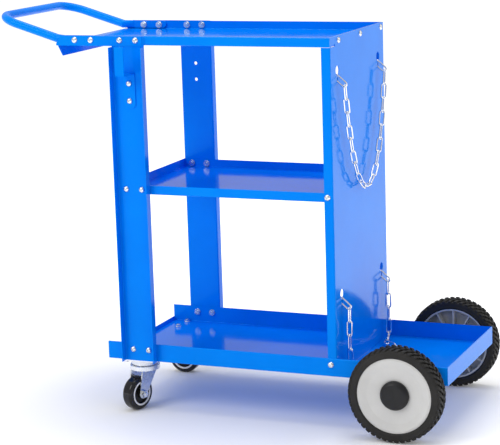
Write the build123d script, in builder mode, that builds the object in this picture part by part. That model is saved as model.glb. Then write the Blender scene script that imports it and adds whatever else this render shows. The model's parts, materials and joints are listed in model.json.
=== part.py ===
"""Oxy acetylene torch cart: three sheet steel decks, two front legs, a back panel, swivel casters,
rear wheels and cylinder chains. Millimetres, +Z up, +X from the handle towards the cylinder deck."""
from math import asinh, cos, radians, sin
import os

from build123d import *

os.makedirs("parts", exist_ok=True)

# ---- driving dimensions -------------------------------------------------------------------------
# Heights stand on the floor at Z = 0. "right" is the -Y side and "left" the +Y side.
sheet = 1.5                    # steel sheet of decks, legs, panel and side plates
bend = 2.5                     # outer radius of a fold
half_width = 149.0             # outside of the top and bottom trays

deck_base = 97.5               # underside of the bottom tray
bottom_front, bottom_rear = -229.0, 439.0
bottom_height = 34.0           # side flanges and rear lip of the bottom tray
front_lip = 9.0                # low lip at the front edge of the bottom tray

shelf_base = 417.5
shelf_height = 17.0

top_base = 693.5
top_height = 17.0
top_front = -307.0
apron_drop = 23.0              # lip folded down at the front of the top tray
apron_corner = 19.0            # its corners are cut at 45 degrees

leg_front, leg_width, leg_flange = -193.0, 66.0, 15.5
screw_pitch = 32.0             # spacing of every pair of screws across a leg

panel_x = 231.0                # rear face of the back panel
panel_flange = 17.0            # its side flanges, folded towards the handle

tube_radius, tube_wall, handle_bend = 8.0, 1.5, 42.0
handle_x, handle_z, handle_half = -436.0, 742.5, 138.0

axle_x, axle_z, axle_radius = 355.0, 86.5, 6.35
tyre_radius, tyre_width, rim_radius = 86.5, 38.0, 68.5
wheel_y = 183.5                # middle plane of a rear wheel

caster_x, caster_y = -169.0, 118.0
caster_radius, caster_width, caster_trail = 31.75, 24.0, 24.0
right_caster_heading = 73.0    # the casters stand at different headings
left_caster_heading = 0.0
caster_holes = (56.0, 43.0)    # a caster's plate has four holes, and bolts in the front two

keyhole_y, upper_keyhole_z, lower_keyhole_z = 112.0, 649.0, 244.0
keyhole_radius, keyhole_slot, keyhole_depth = 9.0, 5.0, 21.5

wire, link_length, link_width = 3.0, 31.8, 12.0
link_count = 19
chain_x = 244.0                # the chains hang in this plane
chain_gap = 0.2                # play between neighbouring links
link_tilt = 40.0               # downward slope of the links that pass through the keyholes
hook_play = 0.4                # more play where a chain hangs in such a link, so that it can swing

screw_radius, hole_radius = 3.0, 3.25
head_radius, head_height = 5.6, 3.4
nut_flats, nut_height = 10.0, 4.6

bolt_end = 1.5                 # thread showing past a nut

# ---- derived places -----------------------------------------------------------------------------
inner_half = half_width - sheet
bottom_floor = deck_base + sheet
bottom_top = deck_base + bottom_height
top_top = top_base + top_height
web_inner = half_width                      # a leg's web lies on the outside of the trays
web_outer = half_width + sheet
leg_middle = leg_front + leg_width / 2
leg_rear = leg_front + leg_width
panel_inner = panel_x - sheet
shelf_rear = panel_inner - 0.8               # clear of the panel's inside radius
panel_base = bottom_floor + bend - sheet    # clear of the tray's inside radius
panel_half = inner_half                     # the panel slips between the bottom tray's flanges
panel_web_half = panel_half - sheet
shelf_rear_half = panel_web_half - 0.15     # and the shelf between the panel's flanges
pair = (leg_middle - screw_pitch / 2, leg_middle + screw_pitch / 2)
handle_pair = (-268.0, -235.0)
top_screw_z = top_base + 9.0
shelf_screw_z = shelf_base + 9.0
bottom_screw_z = deck_base + 22.0
panel_screw_x = panel_x - 11.0
panel_screw_y = (-105.0, 12.0, 129.0)
hook_z = (591.8, 623.8)         # screws of the hose hook
spare_x, spare_z = leg_middle - 0.9, (594.3, 626.3)  # empty holes in the left leg
pitch = link_length - 2 * wire - chain_gap


def save(piece, name):
    """Name a finished piece and write it to its own file."""
    piece.part.label = name
    export_step(piece.part, f"parts/{name}.step")


def facing(point, direction):
    """A plane at a point whose normal looks along a direction."""
    return Plane(origin=point, z_dir=direction)


def side_planes(xs, z, y, side):
    """Planes at several X along one side of the cart, looking outwards."""
    return [facing((x, side * y, z), (0, side, 0)) for x in xs]


def cut_side_holes(xs, zs, side, radius=hole_radius):
    """Cross holes for screws through whatever stands at one side of the part being built."""
    for z in zs:
        for x in xs:
            with BuildSketch(facing((x, side * (half_width - 8), z), (0, side, 0))) as hole:
                Circle(radius)
            extrude(hole.sketch, amount=24, mode=Mode.SUBTRACT)


# ---- fasteners ----------------------------------------------------------------------------------
def screw(grip):
    """Pan head screw with a cross recess: the head sits on Z = 0 and the shank runs down."""
    with BuildPart() as part:
        with BuildSketch(Plane.XZ):
            with BuildLine():
                Line((0, 0), (head_radius, 0))
                Line((head_radius, 0), (head_radius, 1.0))
                ThreePointArc(
                    (head_radius, 1.0), (head_radius * 0.72, head_height * 0.86), (0, head_height),
                )
                Line((0, head_height), (0, 0))
            make_face()
        revolve(axis=Axis.Z)
        with BuildSketch():
            Circle(screw_radius)
        extrude(amount=-(grip + nut_height + bolt_end))
        with BuildSketch(Plane.XY.offset(head_height - 1.6)):
            Rectangle(5.4, 1.1)
            Rectangle(1.1, 5.4)
        extrude(amount=2, mode=Mode.SUBTRACT)
    return part.part


def nut():
    """Flanged hex nut standing on Z = 0, threaded on a shank that comes up through it."""
    with BuildPart() as part:
        with BuildSketch():
            Circle(6.4)
        extrude(amount=1.2)
        with BuildSketch():
            RegularPolygon(nut_flats / 2, 6, major_radius=False)
        extrude(amount=nut_height)
        with BuildSketch():
            Circle(screw_radius)
        extrude(amount=nut_height, mode=Mode.SUBTRACT)
    return part.part


def hex_bolt(grip):
    """Hex head bolt: the head stands on Z = 0 and the shank runs down."""
    with BuildPart() as part:
        with BuildSketch():
            RegularPolygon(nut_flats / 2, 6, major_radius=False)
        extrude(amount=4)
        chamfer(part.edges().group_by(Axis.Z)[-1], 0.6)
        with BuildSketch():
            Circle(screw_radius)
        extrude(amount=-(grip + nut_height + bolt_end))
    return part.part


def fastener_set(joints, make_head=screw):
    """Screws and nuts for joints given as (plane under the head, grip): two groups of solids."""
    with BuildPart() as screws:
        for plane, grip in joints:
            with Locations(plane.location):
                add(make_head(grip), clean=False)
    with BuildPart() as nuts:
        for plane, grip in joints:
            nut_origin = plane.origin - plane.z_dir * grip
            with Locations(Plane(origin=nut_origin, x_dir=plane.x_dir, z_dir=-plane.z_dir).location):
                add(nut(), clean=False)
    return screws, nuts


sides = {"right": -1, "left": 1}

# ---- bottom tray --------------------------------------------------------------------------------
with BuildPart() as bottom_tray:
    with BuildSketch(Plane.YZ.offset(bottom_front)):
        with Locations((0, deck_base + bottom_height / 2)):
            tray_outline = Rectangle(2 * half_width, bottom_height)
        fillet(tray_outline.vertices().group_by(Axis.Z)[0], bend)
    extrude(amount=bottom_rear - bottom_front)
    with BuildSketch(Plane.YZ.offset(bottom_front)):
        with Locations((0, bottom_floor + bottom_height / 2)):
            tray_inside = Rectangle(2 * inner_half, bottom_height)
        fillet(tray_inside.vertices().group_by(Axis.Z)[0], bend - sheet)
    extrude(amount=bottom_rear - sheet - bottom_front, mode=Mode.SUBTRACT)
    with BuildSketch(Plane.YZ.offset(bottom_front)):
        with Locations((0, deck_base + front_lip / 2 + sheet / 2)):
            Rectangle(2 * inner_half - 3, front_lip - sheet)
    extrude(amount=sheet)
    with BuildSketch(Plane.XY.offset(deck_base - 1)):
        for side in sides.values():
            with Locations((caster_x - caster_holes[0] / 2, side * caster_y)):
                with GridLocations(1, caster_holes[1], 1, 2):
                    Circle(hole_radius)
    extrude(amount=2 * sheet, mode=Mode.SUBTRACT)
    for side in sides.values():
        cut_side_holes((*pair, panel_screw_x), (bottom_screw_z,), side)
save(bottom_tray, "bottom_tray")

# ---- middle shelf: slightly narrower at the back, where it slips inside the panel ---------------
with BuildPart() as middle_shelf:
    with BuildSketch(Plane.XY.offset(shelf_base)):
        Polygon(
            (leg_front, -half_width), (shelf_rear, -shelf_rear_half),
            (shelf_rear, shelf_rear_half), (leg_front, half_width), align=None,
        )
    extrude(amount=shelf_height)
    fillet(middle_shelf.edges().group_by(Axis.Z)[0], bend)
    offset(amount=-sheet, openings=middle_shelf.faces().sort_by(Axis.Z)[-1])
    for side in sides.values():
        cut_side_holes((*pair, panel_screw_x), (shelf_screw_z,), side)
save(middle_shelf, "middle_shelf")

# ---- top tray -----------------------------------------------------------------------------------
corner_tab = 28.0              # the right flange turns round the corner of the panel by this much
nose_cut = (11.0, 15.0)        # front corners of the side flanges and side plates are cut off
with BuildPart() as top_tray:
    with BuildSketch(Plane.YZ.offset(top_front)):
        with Locations((0, top_base + top_height / 2)):
            top_outline = Rectangle(2 * half_width, top_height)
        fillet(top_outline.vertices().group_by(Axis.Z)[0], bend)
    extrude(amount=panel_x - top_front)
    with BuildSketch(Plane.YZ.offset(top_front)):
        with Locations((0, top_base + sheet + top_height / 2)):
            top_inside = Rectangle(2 * inner_half, top_height)
        fillet(top_inside.vertices().group_by(Axis.Z)[0], bend - sheet)
    extrude(amount=panel_inner - sheet - top_front, mode=Mode.SUBTRACT)
    # room for the top of the panel's web between the corner tab and the left flange
    with BuildSketch(Plane.YZ.offset(panel_inner)):
        with Locations((corner_tab / 2, top_base + top_height / 2)):
            Rectangle(2 * half_width - corner_tab, top_height + 2)
    extrude(amount=2 * sheet, mode=Mode.SUBTRACT)
    with BuildSketch(Plane.YZ.offset(panel_inner)):
        with Locations((-half_width + corner_tab / 2 + 3, top_base + 1)):
            Rectangle(corner_tab - 6, 4)
    extrude(amount=2 * sheet, mode=Mode.SUBTRACT)
    # apron folded down at the front
    with BuildSketch(Plane.YZ.offset(top_front)):
        Polygon(
            (-inner_half, top_base + sheet), (-inner_half, top_base),
            (-inner_half + apron_corner, top_base - apron_drop),
            (inner_half - apron_corner, top_base - apron_drop),
            (inner_half, top_base), (inner_half, top_base + sheet), align=None,
        )
    extrude(amount=sheet)
    with BuildSketch(Plane.XZ.offset(-half_width - 1)):
        Polygon(
            (top_front, top_top), (top_front, top_top - nose_cut[1]),
            (top_front + nose_cut[0], top_top), align=None,
        )
    extrude(amount=2 * half_width + 2, mode=Mode.SUBTRACT)
    for side in sides.values():
        cut_side_holes((*pair, *handle_pair), (top_screw_z,), side)
    with BuildSketch(Plane.YZ.offset(panel_inner - 3)):
        with Locations(*[(y, top_screw_z) for y in panel_screw_y]):
            Circle(hole_radius)
    extrude(amount=6, mode=Mode.SUBTRACT)
save(top_tray, "top_tray")

# ---- front legs: channels whose flanges point outwards -------------------------------------------
for name, side in sides.items():
    with BuildPart() as leg:
        with BuildSketch(Plane.XY.offset(deck_base)):
            with Locations((leg_middle, side * (web_inner + (sheet + leg_flange) / 2))):
                leg_outline = Rectangle(leg_width, sheet + leg_flange)
            fillet(leg_outline.vertices().group_by(Axis.Y)[0 if side > 0 else -1], bend)
        extrude(amount=top_top - deck_base)
        with BuildSketch(Plane.XY.offset(deck_base)):
            with Locations((leg_middle, side * (web_outer + leg_flange / 2 + 0.5))):
                channel = Rectangle(leg_width - 2 * sheet, leg_flange + 1)
            fillet(channel.vertices().group_by(Axis.Y)[0 if side > 0 else -1], bend - sheet)
        extrude(amount=top_top - deck_base, mode=Mode.SUBTRACT)
        # the flanges stop below the side plate
        with BuildSketch(Plane.XY.offset(top_base - 3)):
            with Locations((leg_middle, side * (web_outer + leg_flange / 2 + 0.5))):
                Rectangle(leg_width + 2, leg_flange + 1)
        extrude(amount=top_height + 6, mode=Mode.SUBTRACT)
        cut_side_holes(pair, (bottom_screw_z, shelf_screw_z, top_screw_z), side)
        if name == "right":
            cut_side_holes((leg_middle,), hook_z, side)
        else:
            cut_side_holes((spare_x,), spare_z, side)
    save(leg, f"{name}_leg")

# ---- back panel ---------------------------------------------------------------------------------
with BuildPart() as back_panel:
    with BuildSketch(Plane.XY.offset(panel_base)):
        with Locations((panel_x - panel_flange / 2, 0)):
            panel_outline = Rectangle(panel_flange, 2 * panel_half)
        fillet(panel_outline.vertices().group_by(Axis.X)[-1], bend)
    extrude(amount=top_top - panel_base)
    with BuildSketch(Plane.XY.offset(panel_base)):
        with Locations((panel_inner - panel_flange / 2 - 0.5, 0)):
            panel_inside = Rectangle(panel_flange + 1, 2 * panel_web_half)
        fillet(panel_inside.vertices().group_by(Axis.X)[-1], bend - sheet)
    extrude(amount=top_top - panel_base, mode=Mode.SUBTRACT)
    # above the top tray's floor only the web goes on, and it clears the corner tab
    with BuildSketch(Plane.XY.offset(top_base - 0.5)):
        with Locations((panel_inner - panel_flange / 2, 0)):
            Rectangle(panel_flange, 2 * half_width)
    extrude(amount=top_height + 2, mode=Mode.SUBTRACT)
    with BuildSketch(Plane.YZ.offset(panel_inner - 1)):
        with Locations((-half_width + corner_tab / 2, top_base + top_height / 2)):
            Rectangle(corner_tab + 1, top_height + 1)
        with Locations((half_width - 1, top_base + top_height / 2)):
            Rectangle(2 + 2 * sheet, top_height + 1)
    extrude(amount=4, mode=Mode.SUBTRACT)
    with BuildSketch(Plane.YZ.offset(panel_inner - 1)):
        for hole_z in (upper_keyhole_z, lower_keyhole_z):
            with Locations((-keyhole_y, hole_z), (keyhole_y, hole_z)):
                Circle(keyhole_radius)
            slot_z = hole_z - keyhole_depth / 2
            with Locations((-keyhole_y, slot_z), (keyhole_y, slot_z)):
                SlotOverall(keyhole_depth, keyhole_slot, rotation=90)
        with Locations(*[(y, top_screw_z) for y in panel_screw_y]):
            Circle(hole_radius)
    extrude(amount=4, mode=Mode.SUBTRACT)
    for side in sides.values():
        cut_side_holes((panel_screw_x,), (bottom_screw_z, shelf_screw_z), side)
save(back_panel, "back_panel")

# ---- handle side plates -------------------------------------------------------------------------
plate_low, plate_rear = top_base - 1.5, leg_rear - 4.0
for name, side in sides.items():
    with BuildPart() as side_plate:
        with BuildSketch(Plane.XZ.offset(-side * web_outer)):
            Polygon(
                (top_front, plate_low), (plate_rear, plate_low), (plate_rear, top_top),
                (top_front + nose_cut[0], top_top), (top_front, top_top - nose_cut[1]), align=None,
            )
        extrude(amount=-side * sheet)
        cut_side_holes((*pair, *handle_pair), (top_screw_z,), side)
    save(side_plate, f"{name}_side_plate")

# ---- handle: a bent tube whose flattened ends are screwed inside the top tray's flanges ---------
tab_front, tab_end, tab_thickness, tab_height = -289.0, -220.0, 4.0, 14.5
neck_front = top_front - 3.0   # the tube is round up to here and then flattens
neck_y = inner_half - tube_radius - 0.9
neck_z = top_base + sheet + tube_radius + 0.9
tab_y = inner_half - tab_thickness / 2
tab_z = top_base + sheet + tab_height / 2 + 1.1
with BuildPart() as handle_tube:
    with BuildLine() as handle_path:
        FilletPolyline(
            (neck_front, -neck_y, neck_z), (handle_x, -handle_half, handle_z),
            (handle_x, handle_half, handle_z), (neck_front, neck_y, neck_z), radius=handle_bend,
        )
    with BuildSketch(Plane(origin=handle_path.line @ 0, z_dir=handle_path.line % 0)):
        Circle(tube_radius)
        Circle(tube_radius - tube_wall, mode=Mode.SUBTRACT)
    sweep(path=handle_path.line)
    for side in sides.values():
        end_point = handle_path.line @ (0 if side < 0 else 1)
        end_way = handle_path.line % (0 if side < 0 else 1) * side
        with BuildSketch(Plane(origin=end_point, x_dir=(0, 1, 0), z_dir=end_way)):
            Circle(tube_radius)
        with BuildSketch(Plane(origin=(tab_front, side * tab_y, tab_z), x_dir=(0, 1, 0), z_dir=(1, 0, 0))):
            RectangleRounded(tab_thickness, tab_height, 1.9)
        loft()
        with BuildSketch(Plane.XZ.offset(-side * (tab_y - tab_thickness / 2))):
            with Locations(((tab_front + tab_end) / 2, tab_z)):
                tab_outline = Rectangle(tab_end - tab_front, tab_height)
            fillet(tab_outline.vertices().group_by(Axis.X)[-1], 7)
        extrude(amount=-side * tab_thickness)
        cut_side_holes(handle_pair, (top_screw_z,), side)
save(handle_tube, "handle_tube")

# spacers that fill the thickness of the leg's web between side plate and tray
with BuildPart() as handle_spacers:
    for side in sides.values():
        for x in handle_pair:
            with BuildSketch(facing((x, side * web_inner, top_screw_z), (0, side, 0))):
                Circle(6.5)
                Circle(hole_radius, mode=Mode.SUBTRACT)
            extrude(amount=sheet)
save(handle_spacers, "handle_spacers")

# ---- hose hook on the right leg -----------------------------------------------------------------
hook_thickness, hook_width, hook_lip_width = 2.0, 24.0, 18.0
hook_ledge_z, hook_reach = 643.3, 39.0
hook_back = -web_outer
with BuildPart() as hose_hook:
    with BuildSketch(Plane.XZ.offset(-hook_back)):
        with Locations((leg_middle, (hook_z[0] - 14 + hook_ledge_z) / 2)):
            hook_plate = Rectangle(hook_width, hook_ledge_z - hook_z[0] + 14)
        fillet(hook_plate.vertices().group_by(Axis.Y)[0], 9)
        with Locations(*[(leg_middle, z) for z in hook_z]):
            Circle(hole_radius, mode=Mode.SUBTRACT)
    extrude(amount=hook_thickness)
    with BuildSketch(Plane.XY.offset(hook_ledge_z)):
        Polygon(
            (leg_middle - hook_width / 2, hook_back), (leg_middle + hook_width / 2, hook_back),
            (leg_middle + hook_lip_width / 2, hook_back - hook_reach),
            (leg_middle - hook_lip_width / 2, hook_back - hook_reach), align=None,
        )
    extrude(amount=-hook_thickness)
    with BuildSketch(Plane.XZ.offset(-hook_back + hook_reach - hook_thickness)):
        with Locations((leg_middle, (hook_ledge_z + top_base + 1) / 2 - 1)):
            hook_upright = Rectangle(hook_lip_width, top_base + 1 - hook_ledge_z + hook_thickness)
        fillet(hook_upright.vertices().group_by(Axis.Y)[-1], 2)
    extrude(amount=hook_thickness)
save(hose_hook, "hose_hook")

# ---- screws and nuts of the frame ---------------------------------------------------------------
top_joints, shelf_joints, bottom_joints = [], [], []
shelf_grip = 2 * sheet + 0.5   # the shelf's sides are not quite parallel to the legs
plate_face = web_outer + sheet
for joints, xs, z, y, grip in (
    (top_joints, handle_pair, top_screw_z, plate_face, 3 * sheet + tab_thickness),
    (top_joints, pair, top_screw_z, plate_face, 3 * sheet),
    (shelf_joints, pair, shelf_screw_z, web_outer, shelf_grip),
    (shelf_joints, (panel_screw_x,), shelf_screw_z, panel_half, shelf_grip),
    (bottom_joints, pair, bottom_screw_z, web_outer, 2 * sheet),
    (bottom_joints, (panel_screw_x,), bottom_screw_z, half_width, 2 * sheet),
):
    for side in sides.values():
        joints += [(plane, grip) for plane in side_planes(xs, z, y, side)]
top_joints += [(facing((panel_x, y, top_screw_z), (1, 0, 0)), 2 * sheet) for y in panel_screw_y]
hook_joints = [
    (facing((leg_middle, hook_back - hook_thickness, z), (0, -1, 0)), hook_thickness + sheet) for z in hook_z
]
for name, joints in {
    "top": top_joints, "shelf": shelf_joints, "bottom": bottom_joints, "hook": hook_joints,
}.items():
    screws, nuts = fastener_set(joints)
    save(screws, f"{name}_screws")
    save(nuts, f"{name}_nuts")

# ---- axle and its brackets, welded under the bottom tray ----------------------------------------
bracket_thickness, bracket_y, bracket_foot = 3.0, 140.0, 26.0
axle_end = 203.0
with BuildPart() as axle:
    with BuildSketch(Plane.XZ.offset(-axle_end)):
        with Locations((axle_x, axle_z)):
            Circle(axle_radius)
    extrude(amount=2 * axle_end)
    chamfer(axle.edges().filter_by(GeomType.CIRCLE), 1)
save(axle, "axle")

for name, side in sides.items():
    with BuildPart() as bracket:
        with BuildSketch(Plane.XZ.offset(-side * bracket_y)):
            with BuildLine():
                Polyline(
                    (axle_x + 13, axle_z), (axle_x + 30, deck_base),
                    (axle_x - 30, deck_base), (axle_x - 13, axle_z),
                )
                ThreePointArc((axle_x - 13, axle_z), (axle_x, axle_z - 13), (axle_x + 13, axle_z))
            make_face()
            with Locations((axle_x, axle_z)):
                Circle(axle_radius, mode=Mode.SUBTRACT)
        extrude(amount=side * bracket_thickness)
        with BuildSketch(Plane.XY.offset(deck_base)):
            with Locations((axle_x, side * (bracket_y - bracket_foot / 2))):
                foot = Rectangle(60, bracket_foot)
            fillet(foot.vertices().group_by(Axis.Y)[0 if side > 0 else -1], 6)
        extrude(amount=-bracket_thickness)
    save(bracket, f"{name}_axle_bracket")

with BuildPart() as axle_collars:
    for side in sides.values():
        with BuildSketch(Plane.XZ.offset(-side * (bracket_y + 0.2))):
            with Locations((axle_x, axle_z)):
                Circle(11)
                Circle(axle_radius, mode=Mode.SUBTRACT)
        extrude(amount=-side * (wheel_y - 17 - bracket_y - 0.6))
save(axle_collars, "axle_collars")

with BuildPart() as axle_push_nuts:
    for side in sides.values():
        with BuildSketch(Plane.XZ.offset(-side * (wheel_y + 13.4))):
            with Locations((axle_x, axle_z)):
                Circle(11)
                Circle(axle_radius, mode=Mode.SUBTRACT)
        extrude(amount=-side * 2)
save(axle_push_nuts, "axle_push_nuts")

# ---- rear wheels --------------------------------------------------------------------------------
hub_web, boss_radius, boss_half, rib_count = 3.0, 17.0, 16.5, 12
bore_radius = axle_radius + 0.05
cap_radius, cap_height, rim_depth = 26.5, 8.0, 16.0


def wheel_plane(side):
    """Plane of a rear wheel: X forward, Y up, Z pointing outwards from the cart."""
    return Plane(origin=(axle_x, side * wheel_y, axle_z), x_dir=(-side, 0, 0), z_dir=(0, side, 0))


def wheel_section(side):
    """Half plane through the wheel's axis for revolved profiles: X is the radius, Y points outwards."""
    return Plane(origin=(axle_x, side * wheel_y, axle_z), x_dir=(0, 0, 1), z_dir=(-side, 0, 0))


for name, side in sides.items():
    spin = Axis((axle_x, side * wheel_y, axle_z), (0, 1, 0))
    with BuildPart() as tyre:
        with BuildSketch(wheel_section(side)):
            with BuildLine():
                Line((rim_radius, -tyre_width / 2 + 2), (77.5, -tyre_width / 2))
                ThreePointArc((77.5, -tyre_width / 2), (83.7, -15), (tyre_radius, -8))
                Line((tyre_radius, -8), (tyre_radius, 8))
                ThreePointArc((tyre_radius, 8), (83.7, 15), (77.5, tyre_width / 2))
                Line((77.5, tyre_width / 2), (rim_radius, tyre_width / 2 - 2))
                Line((rim_radius, tyre_width / 2 - 2), (rim_radius, -tyre_width / 2 + 2))
            make_face()
        revolve(axis=spin)
    save(tyre, f"{name}_tyre")

    with BuildPart() as hub:
        with BuildSketch(wheel_section(side)):
            with BuildLine():
                Polyline(
                    (bore_radius, -boss_half), (boss_radius, -boss_half), (boss_radius, 5), (26, 7),
                    (54, 9), (62, 12), (rim_radius - 3, 12), (rim_radius - 3, -rim_depth),
                    (rim_radius, -rim_depth), (rim_radius, rim_depth), (rim_radius - 4, rim_depth + 1),
                    (58, rim_depth - 1), (52, rim_depth - 3), (28, 10), (24, 9), (19, 8), (19, 13),
                    (bore_radius, 13), close=True,
                )
            make_face()
        revolve(axis=spin)
        with BuildSketch(wheel_plane(side).offset(-12)):
            with PolarLocations(0, rib_count):
                with Locations(((boss_radius + rim_radius - 3) / 2, 0)):
                    Rectangle(rim_radius - 2 - boss_radius, 2.4)
        extrude(amount=18)
    save(hub, f"{name}_hub")

    with BuildPart() as cap:
        with BuildSketch(wheel_section(side)):
            with BuildLine():
                Line((19, 11), (21, 9))
                Line((21, 9), (cap_radius, 10.2))
                Line((cap_radius, 10.2), (cap_radius, 14))
                ThreePointArc((cap_radius, 14), (cap_radius - 3.5, 19.2), (cap_radius - 9, 21))
                Line((cap_radius - 9, 21), (0, 22.5))
                Line((0, 22.5), (0, 20.5))
                Line((0, 20.5), (cap_radius - 10, 19))
                Line((cap_radius - 10, 19), (19.2, 17))
                Line((19.2, 17), (19, 11))
            make_face()
        revolve(axis=spin)
    save(cap, f"{name}_hub_cap")

# ---- swivel casters -----------------------------------------------------------------------------
plate_size, plate_thickness = (72.0, 60.0), 2.5
plate_base = deck_base - plate_thickness
fork_top, fork_under, fork_gap = 84.0, 81.5, 13.2
leg_sheet, race_radius, pin_radius = 2.2, 25.0, 5.0
ball_radius, ball_count, ball_ring = 2.4, 16, 19.5
caster_bolt, swivel_play = 4.0, 0.06
headings = {"right": right_caster_heading, "left": left_caster_heading}


def upright(plane, y):
    """Plane in a caster's fore-and-aft direction and up, at a distance y to its side."""
    return Plane(origin=plane.origin + plane.y_dir * y, x_dir=plane.x_dir, z_dir=-plane.y_dir)


caster_joints = []
for name, side in sides.items():
    heading = radians(headings[name])
    foot_point = (caster_x, side * caster_y, 0)
    swivel = Plane(origin=foot_point, x_dir=(cos(heading), sin(heading), 0), z_dir=(0, 0, 1))
    swivel_axis = Axis(foot_point, (0, 0, 1))
    race = Plane(origin=foot_point, x_dir=(1, 0, 0), z_dir=(0, -1, 0))
    wheel_centre = swivel.origin - swivel.x_dir * caster_trail + Vector(0, 0, caster_radius)
    wheel_axis = Axis(wheel_centre, swivel.y_dir)
    wheel_half = Plane(origin=wheel_centre, x_dir=(0, 0, 1), z_dir=-swivel.x_dir)

    with BuildPart() as caster_plate:
        with BuildSketch(Plane.XY.offset(plate_base)):
            with Locations((caster_x, side * caster_y)):
                RectangleRounded(*plate_size, 5)
                with GridLocations(*caster_holes, 2, 2):
                    Circle(hole_radius, mode=Mode.SUBTRACT)
        extrude(amount=plate_thickness)
        with BuildSketch(race):
            with BuildLine():
                Polyline(
                    (pin_radius, fork_top + 5.2), (23, fork_top + 5.2), (23.6, fork_top + 0.6),
                    (race_radius, fork_top + 0.6), (race_radius + 1, plate_base + 0.5),
                    (pin_radius, plate_base + 0.5), close=True,
                )
            make_face()
        revolve(axis=swivel_axis)
        with BuildSketch(Plane.XY.offset(plate_base - 10)):
            with Locations((caster_x, side * caster_y)):
                Circle(pin_radius)
        extrude(amount=20, mode=Mode.SUBTRACT)
    save(caster_plate, f"{name}_caster_plate")

    with BuildPart() as kingpin:
        with BuildSketch(race):
            with BuildLine():
                Polyline(
                    (0, deck_base), (pin_radius, deck_base), (pin_radius, fork_under - 0.3),
                    (9, fork_under - 0.3), (8, fork_under - 3.5), (0, fork_under - 4), close=True,
                )
            make_face()
        revolve(axis=swivel_axis)
    save(kingpin, f"{name}_caster_kingpin")

    with BuildPart() as balls:
        for turn in range(ball_count):
            angle = radians(360 / ball_count * turn)
            spot = (
                caster_x + ball_ring * cos(angle), side * caster_y + ball_ring * sin(angle),
                fork_top + ball_radius + 0.1,
            )
            with Locations(spot):
                Sphere(ball_radius)
    save(balls, f"{name}_caster_balls")

    with BuildPart() as fork:
        with BuildSketch(race):
            with BuildLine():
                Polyline(
                    (pin_radius + swivel_play, fork_top), (27, fork_top), (28.5, fork_top - 1.5),
                    (28.5, fork_top - 9), (26.3, fork_top - 9), (26.3, fork_under),
                    (pin_radius + swivel_play, fork_under), close=True,
                )
            make_face()
        revolve(axis=swivel_axis)
        for way in (-1, 1):
            outer = fork_gap + leg_sheet if way > 0 else -fork_gap
            with BuildSketch(upright(swivel, outer)):
                with Locations((-caster_trail, caster_radius)):
                    Circle(9.5)
                with Locations((-1, fork_under - 2)):
                    Rectangle(42, 4)
                make_hull()
                with Locations((-caster_trail, caster_radius)):
                    Circle(caster_bolt, mode=Mode.SUBTRACT)
            extrude(amount=leg_sheet)
    save(fork, f"{name}_caster_fork")

    with BuildPart() as caster_axle:
        with BuildSketch(upright(swivel, fork_gap + leg_sheet)):
            with Locations((-caster_trail, caster_radius)):
                RegularPolygon(6.5, 6, major_radius=False)
        extrude(amount=-5)
        with BuildSketch(upright(swivel, fork_gap + leg_sheet)):
            with Locations((-caster_trail, caster_radius)):
                Circle(caster_bolt)
        extrude(amount=2 * (fork_gap + leg_sheet) + 8)
        chamfer(caster_axle.edges().sort_by(Axis(wheel_centre, swivel.y_dir))[0], 0.8)
    save(caster_axle, f"{name}_caster_axle")

    with BuildPart() as caster_nut:
        with BuildSketch(upright(swivel, -fork_gap - leg_sheet)):
            with Locations((-caster_trail, caster_radius)):
                RegularPolygon(6.5, 6, major_radius=False)
                Circle(caster_bolt, mode=Mode.SUBTRACT)
        extrude(amount=6)
    save(caster_nut, f"{name}_caster_axle_nut")

    with BuildPart() as caster_tyre:
        with BuildSketch(wheel_half):
            with BuildLine():
                Line((23.5, -caster_width / 2), (26.5, -caster_width / 2))
                ThreePointArc((26.5, -caster_width / 2), (30.4, -9.4), (caster_radius, -4.5))
                Line((caster_radius, -4.5), (caster_radius, 4.5))
                ThreePointArc((caster_radius, 4.5), (30.4, 9.4), (26.5, caster_width / 2))
                Line((26.5, caster_width / 2), (23.5, caster_width / 2))
                Line((23.5, caster_width / 2), (23.5, -caster_width / 2))
            make_face()
        revolve(axis=wheel_axis)
    save(caster_tyre, f"{name}_caster_tyre")

    with BuildPart() as caster_core:
        with BuildSketch(wheel_half):
            with BuildLine():
                bore = caster_bolt + swivel_play
                Polyline(
                    (bore, -12.8), (8.5, -12.8), (9, -8), (19, -7), (20, -10.5), (23.5, -10.5), (23.5, 10.5),
                    (20, 10.5), (19, 7), (9, 8), (8.5, 12.8), (bore, 12.8), close=True,
                )
            make_face()
        revolve(axis=wheel_axis)
    save(caster_core, f"{name}_caster_core")

    with BuildPart() as caster_rings:
        for way in (-1, 1):
            with BuildSketch(wheel_half):
                with BuildLine():
                    Polyline(
                        (20, way * 10.5), (23.5, way * 10.5), (23.5, way * 11.6), (22, way * 12.4),
                        (20.4, way * 12.2), close=True,
                    )
                make_face()
            revolve(axis=wheel_axis)
    save(caster_rings, f"{name}_caster_rings")

    bolt_x = caster_x - caster_holes[0] / 2
    for y in (-caster_holes[1] / 2, caster_holes[1] / 2):
        head = facing((bolt_x, side * caster_y + y, plate_base), (0, 0, -1))
        caster_joints.append((head, plate_thickness + sheet))
caster_bolts, caster_nuts = fastener_set(caster_joints, make_head=hex_bolt)
save(caster_bolts, "caster_bolts")
save(caster_nuts, "caster_nuts")

# ---- chains -------------------------------------------------------------------------------------
catenary = 48.0                # parameter of the curve in which the upper chain hangs
bar_reach = (link_length - wire) / 2
end_radius = (link_width - wire) / 2
slope = Vector(cos(radians(link_tilt)), 0, -sin(radians(link_tilt)))
bar_step = slope * (wire + chain_gap + hook_play)

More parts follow.
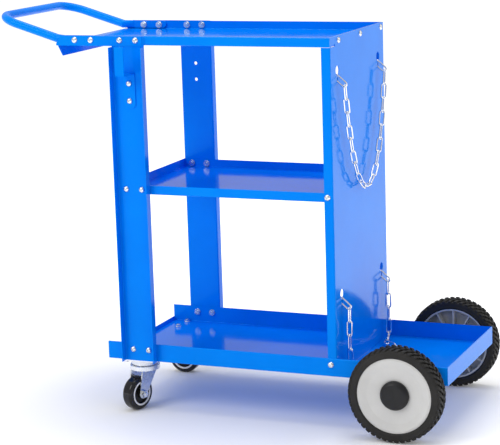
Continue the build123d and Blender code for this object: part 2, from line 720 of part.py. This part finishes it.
with BuildPart() as link:
    with BuildLine() as link_path:
        Line((-bar_reach + end_radius, -end_radius), (bar_reach - end_radius, -end_radius))
        ThreePointArc(
            (bar_reach - end_radius, -end_radius), (bar_reach, 0), (bar_reach - end_radius, end_radius),
        )
        Line((bar_reach - end_radius, end_radius), (-bar_reach + end_radius, end_radius))
        ThreePointArc(
            (-bar_reach + end_radius, end_radius), (-bar_reach, 0), (-bar_reach + end_radius, -end_radius),
        )
    with BuildSketch(Plane(origin=link_path.line @ 0, z_dir=link_path.line % 0)):
        Circle(wire / 2)
    sweep(path=link_path.line)


def link_plane(centre, way, roll=0.0):
    """Place of a link: its length along a direction, lying across X, then rolled about its length."""
    way = Vector(*way).normalized()
    flat = (Vector(1, 0, 0) - way * way.X).normalized()
    return Plane(origin=centre, x_dir=way, z_dir=flat.rotate(Axis((0, 0, 0), way), roll))


def chain(planes):
    """A run of links, one solid for each plane."""
    with BuildPart() as part:
        for plane in planes:
            with Locations(plane.location):
                add(link.part, clean=False)
    return part


def hang_point(keyhole_z, side):
    """Centre of the bar from which a chain hangs in the link that comes out of a keyhole."""
    return Vector(chain_x, side * keyhole_y, keyhole_z - 24.6)


def end_links(keyhole_z):
    """The link through each keyhole, and the link behind the panel that stops it from pulling out."""
    planes = []
    for side in sides.values():
        outer_bar = hang_point(keyhole_z, side) + bar_step
        centre = outer_bar - slope * bar_reach
        inner_bar = centre - slope * bar_reach + bar_step
        planes.append(Plane(origin=centre, x_dir=slope, z_dir=(0, 1, 0)))
        planes.append(link_plane(inner_bar - Vector(0, 0, bar_reach), (0, 0, -1)))
    return chain(planes)


save(end_links(upper_keyhole_z), "upper_chain_end_links")
save(end_links(lower_keyhole_z), "lower_chain_end_links")

# the upper chain hangs as a loop between its keyholes
half_run = link_count * pitch / 2
hang_z = hang_point(upper_keyhole_z, 1).Z - (wire + chain_gap) / 2
lowest_z = hang_z - ((catenary**2 + half_run**2) ** 0.5 - catenary)
contacts = [
    Vector(chain_x, catenary * asinh(run / catenary), lowest_z + (catenary**2 + run**2) ** 0.5 - catenary)
    for run in [-half_run + pitch * count for count in range(link_count + 1)]
]
upper_places = [
    link_plane((start + end) / 2, end - start, 90.0 * (count % 2))
    for count, (start, end) in enumerate(zip(contacts, contacts[1:]))
]
save(chain(upper_places), "upper_chain")

# the lower chain comes down from its keyholes and lies on the tray's floor in a loop towards the
# cylinder deck; each entry is for one link, from the middle of the chain to a keyhole
turns = [0, 26, 53.1, 53.1, 12, 12, 0, 0, 0, 0]  # they bring the ends under the keyholes
lifts = [0, 0, 0, 0, 0, 21.2, 90, 90, 90, 90]
twists = [0, 26, 53.1, 53.1, 12, 12, 9, 6, 3, 0]
first_lifted = 5
half_core = bar_reach - end_radius          # from a link's middle to the centre of a rounded end
end_to_end = 2 * end_radius - wire - chain_gap  # between the rounded ends' centres of two neighbours


def pivots_on(count):
    """Whether a link turns against the one before it about the centre of its own rounded end."""
    return count % 2 == (0 if count < first_lifted else 1)


half_planes = []
pivot = Vector(0, -half_core, 0)
for count, (turn, lift, twist) in enumerate(zip(turns, lifts, twists)):
    flat_way = Vector(-sin(radians(turn)), cos(radians(turn)), 0)
    way = flat_way * cos(radians(lift)) + Vector(0, 0, sin(radians(lift)))
    across = Vector(cos(radians(twist)), sin(radians(twist)), 0)
    centre = pivot + way * (half_core + (0 if pivots_on(count) else end_to_end))
    pivot = centre + way * (half_core + (end_to_end if pivots_on(count + 1) else 0))
    normal = across if count % 2 else way.cross(across)
    half_planes.append(Plane(origin=centre, x_dir=way, z_dir=normal))
top_bar = half_planes[-1].origin + half_planes[-1].x_dir * bar_reach
hang = hang_point(lower_keyhole_z, 1)
chain_move = Vector(hang.X - top_bar.X, 0, hang.Z - top_bar.Z)


def flipped(vector):
    """A vector mirrored to the other side of the cart."""
    return Vector(vector.X, -vector.Y, vector.Z)


lower_places = []
for plane in half_planes:
    centre = plane.origin + chain_move
    lower_places.append(Plane(origin=centre, x_dir=plane.x_dir, z_dir=plane.z_dir))
    if plane is not half_planes[0]:
        lower_places.append(
            Plane(origin=flipped(centre), x_dir=flipped(plane.x_dir), z_dir=flipped(plane.z_dir))
        )
save(chain(lower_places), "lower_chain")
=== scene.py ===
import json
from math import cos, pi, radians, sin

import bmesh
import bpy
from mathutils import Matrix, Vector


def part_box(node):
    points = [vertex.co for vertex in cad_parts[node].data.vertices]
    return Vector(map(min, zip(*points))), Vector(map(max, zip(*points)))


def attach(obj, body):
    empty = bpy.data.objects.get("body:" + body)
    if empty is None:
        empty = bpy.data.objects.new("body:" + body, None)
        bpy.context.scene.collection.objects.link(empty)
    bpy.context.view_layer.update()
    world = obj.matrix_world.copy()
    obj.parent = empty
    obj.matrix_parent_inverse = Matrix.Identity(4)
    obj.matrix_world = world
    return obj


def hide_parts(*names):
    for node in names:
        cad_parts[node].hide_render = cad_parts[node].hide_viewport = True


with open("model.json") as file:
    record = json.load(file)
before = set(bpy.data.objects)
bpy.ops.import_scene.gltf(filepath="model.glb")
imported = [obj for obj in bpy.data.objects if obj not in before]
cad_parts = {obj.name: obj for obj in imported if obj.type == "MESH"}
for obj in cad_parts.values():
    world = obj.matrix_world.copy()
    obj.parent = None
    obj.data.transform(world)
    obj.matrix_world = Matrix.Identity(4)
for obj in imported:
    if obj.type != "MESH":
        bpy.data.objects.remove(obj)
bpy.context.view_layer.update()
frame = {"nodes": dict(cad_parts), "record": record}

MM = 0.001

# ---- finishes -----------------------------------------------------------------------------------
noise_low, noise_high = 0.3, 0.7    # nearly all of a noise texture's values lie between these


def new_material(name):
    """A node material with its Principled shader and a function that adds and joins nodes."""
    made = bpy.data.materials.new(name)
    made.use_nodes = True
    shader = made.node_tree.nodes["Principled BSDF"]

    def add(kind, **inputs):
        node = made.node_tree.nodes.new(kind)
        for key, value in inputs.items():
            socket = node.inputs[key.replace("_", " ")]
            if isinstance(value, bpy.types.NodeSocket):
                made.node_tree.links.new(value, socket)
            else:
                socket.default_value = value
        return node

    return made, shader, add


def finish(name, dark, light, rough, patch=12.0, grain=600.0, bump=0.1, depth=0.0001, **constants):
    """Two close tones in soft patches, uneven gloss between two roughnesses, and a fine relief.

    patch and grain are noise scales per metre, and the gloss varies four times as finely as the
    patches. depth is the relief's height in metres. Constants are shader inputs that are the same
    all over, by name.
    """
    made, shader, add = new_material(name)
    links = made.node_tree.links
    place = add("ShaderNodeTexCoord").outputs["Object"]
    broad = add("ShaderNodeTexNoise", Vector=place, Scale=patch, Detail=4.0, Roughness=0.6)
    tone = add("ShaderNodeValToRGB", Fac=broad.outputs["Fac"])
    tone.color_ramp.elements[0].position = noise_low
    tone.color_ramp.elements[0].color = (*dark, 1)
    tone.color_ramp.elements[1].position = noise_high
    tone.color_ramp.elements[1].color = (*light, 1)
    links.new(tone.outputs["Color"], shader.inputs["Base Color"])
    haze = add("ShaderNodeTexNoise", Vector=place, Scale=patch * 4, Detail=5.0, Roughness=0.65)
    gloss = add(
        "ShaderNodeMapRange", Value=haze.outputs["Fac"], From_Min=noise_low, From_Max=noise_high,
    )
    gloss.inputs["To Min"].default_value, gloss.inputs["To Max"].default_value = rough
    links.new(gloss.outputs["Result"], shader.inputs["Roughness"])
    fine = add("ShaderNodeTexNoise", Vector=place, Scale=grain, Detail=3.0, Roughness=0.5)
    relief = add("ShaderNodeBump", Height=fine.outputs["Fac"], Strength=bump, Distance=depth)
    links.new(relief.outputs["Normal"], shader.inputs["Normal"])
    for key, value in constants.items():
        shader.inputs[key.replace("_", " ")].default_value = value
    return made


finishes = {
    "blue_paint": finish(
        "powder_coat", (0.0, 0.195, 0.82), (0.0, 0.230, 0.90), (0.08, 0.15), patch=7.0, grain=700.0,
        bump=0.05, depth=0.00008, Specular_IOR_Level=0.22, Specular_Tint=(0.1, 0.6, 1.0, 1.0),
    ),
    "zinc": finish(
        "bright_zinc", (0.66, 0.70, 0.75), (0.86, 0.87, 0.88), (0.16, 0.34), patch=60.0, grain=2400.0,
        bump=0.12, depth=0.00005, Metallic=1.0,
    ),
    "rubber": finish(
        "tyre_rubber", (0.010, 0.0095, 0.009), (0.020, 0.0185, 0.017), (0.50, 0.70), patch=40.0,
        grain=1500.0, bump=0.35, depth=0.00015, Specular_IOR_Level=0.32,
    ),
    "hub_plastic": finish(
        "moulded_hub", (0.555, 0.55, 0.535), (0.625, 0.62, 0.605), (0.30, 0.42), patch=14.0,
        grain=900.0, bump=0.10, depth=0.0001,
    ),
    "cap_plastic": finish(
        "black_plastic", (0.008, 0.008, 0.009), (0.013, 0.013, 0.014), (0.34, 0.48), patch=60.0,
        grain=1800.0, bump=0.2, depth=0.0001, Specular_IOR_Level=0.30,
    ),
    "caster_tread": finish(
        "caster_tread", (0.006, 0.006, 0.008), (0.013, 0.013, 0.016), (0.07, 0.16), patch=50.0,
        grain=900.0, bump=0.06, depth=0.00008, Specular_IOR_Level=0.35,
    ),
    "ring_plastic": finish(
        "white_ring", (0.80, 0.80, 0.80), (0.90, 0.90, 0.90), (0.25, 0.38), patch=60.0,
        grain=1200.0, bump=0.08, depth=0.00008,
    ),
}
chain_finish = finish(
    "chain_zinc", (0.74, 0.76, 0.79), (0.92, 0.92, 0.93), (0.10, 0.22), patch=90.0, grain=2600.0,
    bump=0.1, depth=0.00004, Metallic=1.0,
)


def coat(obj, made):
    """Give an object one finish all over."""
    obj.data.materials.clear()
    obj.data.materials.append(made)


for subpart in frame["record"]["subparts"]:
    node = subpart["node"]
    chosen = chain_finish if "chain" in node else finishes[subpart["material_slot"]]
    coat(frame["nodes"][node], chosen)

# ---- rear tyres: carcass with raised tread blocks -----------------------------------------------
pitch_count = 46               # tread blocks round the tyre, in each of four rows
tread_depth = 3.6 * MM
shoulder_drop = 2.6 * MM       # the tread falls away by this much at the shoulders
flat_part = 0.62               # part of the half width over which the tread is flat
arc_steps = 4 * pitch_count    # facets round the carcass
block_share = 0.58             # part of a pitch that a block's foot takes up
block_taper = 0.86             # length of a block's top to its foot's, round the wheel
block_root = 1.5 * MM          # how far a block's foot is sunk in the carcass
block_slant = 0.22             # part of a pitch that a block runs round in slant_run
slant_run = 4 * MM             # distance across the tread
block_rounding = 0.45 * MM
edge_gap = 0.6 * MM            # from the blocks to the tyre's side, and to its middle line
groove_inner = 0.47            # edges of the two side grooves, as parts of the half width
groove_outer = 0.56


def tread_radius(radius, half, across):
    """Radius of the tops of the blocks at a distance across the tread."""
    edge = max(0.0, (abs(across) / half - flat_part) / (1 - flat_part))
    return radius - shoulder_drop * edge ** 2


def add_carcass(mesh, rim, radius, half):
    """The tyre's closed section turned about the wheel's axis.

    side is half of it as radius and distance across: bead, rim guard, side wall, shoulder.
    """
    base = radius - tread_depth
    side = [
        (rim, half - 2.2 * MM), (rim + 0.9 * MM, half - 1.1 * MM), (rim + 2.6 * MM, half - 0.5 * MM),
        (rim + 3.4 * MM, half), (rim + 4.4 * MM, half - 0.6 * MM), (rim + 9 * MM, half - 0.5 * MM),
        (base - 2.4 * MM, half - 0.7 * MM), (base - 0.8 * MM, half - 2 * MM), (base, half - 4.5 * MM),
    ]
    section = side + [(base, 0.0)] + [(r, -y) for r, y in reversed(side)]
    rings = []
    for step in range(arc_steps):
        angle = 2 * pi * step / arc_steps
        rings.append([mesh.verts.new((r * cos(angle), y, r * sin(angle))) for r, y in section])
    for ring, following in zip(rings, rings[1:] + rings[:1]):
        for index in range(len(section)):
            onward = (index + 1) % len(section)
            face = mesh.faces.new((ring[index], ring[onward], following[onward], following[index]))
            face.smooth = True


def add_block(mesh, radius, half, span, angle, lean):
    """One tread block: span is its two edges across the tread, lean its slant round the wheel."""
    wide = block_share * 2 * pi / pitch_count
    rows, columns = 5, 3
    last_row, last_column = rows - 1, columns - 1
    layers = {}
    for level in ("foot", "top"):
        for row in range(rows):
            across = span[0] + (span[1] - span[0]) * row / last_row
            for column in range(columns):
                shrink = 1.0 if level == "foot" else block_taper
                turn = angle + lean * across + wide * shrink * (column / last_column - 0.5)
                reach = radius - tread_depth - block_root
                if level == "top":
                    reach = tread_radius(radius, half, across)
                corner = (reach * cos(turn), across, reach * sin(turn))
                layers[level, row, column] = mesh.verts.new(corner)

    def cell(level, row, column):
        return [layers[level, row + i, column + j] for i, j in ((0, 0), (1, 0), (1, 1), (0, 1))]

    for row in range(last_row):
        for column in range(last_column):
            mesh.faces.new(cell("top", row, column))
            mesh.faces.new(reversed(cell("foot", row, column)))
    border = [(0, c) for c in range(columns)] + [(r, last_column) for r in range(1, rows)]
    border += [(last_row, c) for c in range(last_column - 1, -1, -1)]
    border += [(r, 0) for r in range(last_row - 1, 0, -1)]
    for here, after in zip(border, border[1:] + border[:1]):
        corners = (("foot", here), ("foot", after), ("top", after), ("top", here))
        mesh.faces.new([layers[(level, *spot)] for level, spot in corners])


for side in ("right", "left"):
    low, high = (Vector(corner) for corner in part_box(f"{side}_tyre"))
    hub_low, hub_high = (Vector(corner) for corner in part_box(f"{side}_hub"))
    radius, half = (high.z - low.z) / 2, (high.y - low.y) / 2
    rim = (hub_high.z - hub_low.z) / 2
    made = bmesh.new()
    add_carcass(made, rim, radius, half)
    lean = block_slant * 2 * pi / pitch_count / slant_run
    inner, outer = half * groove_inner, half * groove_outer
    bands = (
        (-half + edge_gap, -outer, -1, 0.0), (-inner, -edge_gap, -1, 0.0),
        (edge_gap, inner, 1, 0.5), (outer, half - edge_gap, 1, 0.5),
    )
    for start, end, way, offset in bands:
        for count in range(pitch_count):
            angle = 2 * pi * (count + offset) / pitch_count
            add_block(made, radius, half, (start, end), angle, way * lean)
    bmesh.ops.recalc_face_normals(made, faces=made.faces)
    data = bpy.data.meshes.new(f"{side}_treaded_tyre")
    made.to_mesh(data)
    made.free()
    tyre = bpy.data.objects.new(f"{side}_treaded_tyre", data)
    bpy.context.scene.collection.objects.link(tyre)
    tyre.location = (low + high) / 2
    edges = tyre.modifiers.new("rounded_blocks", "BEVEL")
    edges.width, edges.segments = block_rounding, 2
    edges.limit_method, edges.angle_limit = "ANGLE", radians(50)
    coat(tyre, finishes["rubber"])
    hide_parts(f"{side}_tyre")
    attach(tyre, f"{side}_wheel")

# ---- studio: a flat pale floor that glows more away from the cart, and soft lights --------------
floor_half = 15.0
glow_near, glow_far = 0.3, 1.15        # distances from the cart's middle
glow_least, glow_most = 0.04, 0.56     # strengths of the floor's own light there
sky_strength = 0.55

floor_made, floor_shader, floor_add = new_material("studio_floor")
floor_shader.inputs["Base Color"].default_value = (0.93, 0.93, 0.94, 1)
floor_shader.inputs["Roughness"].default_value = 0.9
floor_shader.inputs["Specular IOR Level"].default_value = 0.1
floor_shader.inputs["Emission Color"].default_value = (1, 1, 1, 1)
reach = floor_add("ShaderNodeVectorMath", Vector=floor_add("ShaderNodeTexCoord").outputs["Object"])
reach.operation = "LENGTH"
glow = floor_add(
    "ShaderNodeMapRange", Value=reach.outputs["Value"], From_Min=glow_near, From_Max=glow_far,
)
glow.inputs["To Min"].default_value, glow.inputs["To Max"].default_value = glow_least, glow_most
floor_made.node_tree.links.new(glow.outputs["Result"], floor_shader.inputs["Emission Strength"])
floor_data = bpy.data.meshes.new("studio_floor")
corner_signs = ((-1, -1), (1, -1), (1, 1), (-1, 1))
floor_corners = [(x * floor_half, y * floor_half, 0) for x, y in corner_signs]
floor_data.from_pydata(floor_corners, [], [(0, 1, 2, 3)])
floor = bpy.data.objects.new("studio_floor", floor_data)
bpy.context.scene.collection.objects.link(floor)
coat(floor, floor_made)

world = bpy.data.worlds.new("studio_white")
world.use_nodes = True
sky = world.node_tree.nodes["Background"]
sky.inputs["Color"].default_value = (1, 1, 1, 1)
sky.inputs["Strength"].default_value = sky_strength
bpy.context.scene.world = world


def softbox(name, place, size, power, target=(0, 0, 0.35)):
    """A square area light of a size in metres and a power in watts, that looks at the cart."""
    data = bpy.data.lights.new(name, "AREA")
    data.size, data.energy = size, power
    lamp = bpy.data.objects.new(name, data)
    lamp.location = place
    lamp.rotation_euler = (Vector(target) - Vector(place)).to_track_quat("-Z", "Y").to_euler()
    bpy.context.scene.collection.objects.link(lamp)


softbox("key_light", (-1.6, -2.6, 2.6), 1.8, 46)
softbox("rear_light", (2.6, 0.9, 1.8), 1.6, 14)
softbox("top_light", (0.0, 0.4, 3.2), 2.4, 46)

# ---- camera -------------------------------------------------------------------------------------
camera_place = (1.332, -3.148, 1.0315)
focal_length, sensor_width = 132.0, 36.0
azimuth, elevation, roll = radians(22.818), radians(11.410), radians(-1.804)
forward = Vector((-sin(azimuth) * cos(elevation), cos(azimuth) * cos(elevation), -sin(elevation)))
level = Vector((cos(azimuth), sin(azimuth), 0))
upward = level.cross(forward)
rightward = level * cos(roll) + upward * sin(roll)
upward = upward * cos(roll) - level * sin(roll)
camera_data = bpy.data.cameras.new("camera")
camera_data.sensor_width, camera_data.lens = sensor_width, focal_length
camera = bpy.data.objects.new("camera", camera_data)
turn = Matrix((rightward, upward, -forward)).transposed().to_4x4()
camera.matrix_world = Matrix.Translation(camera_place) @ turn
bpy.context.scene.collection.objects.link(camera)
bpy.context.scene.camera = camera
bpy.context.scene.view_settings.view_transform = "Standard"
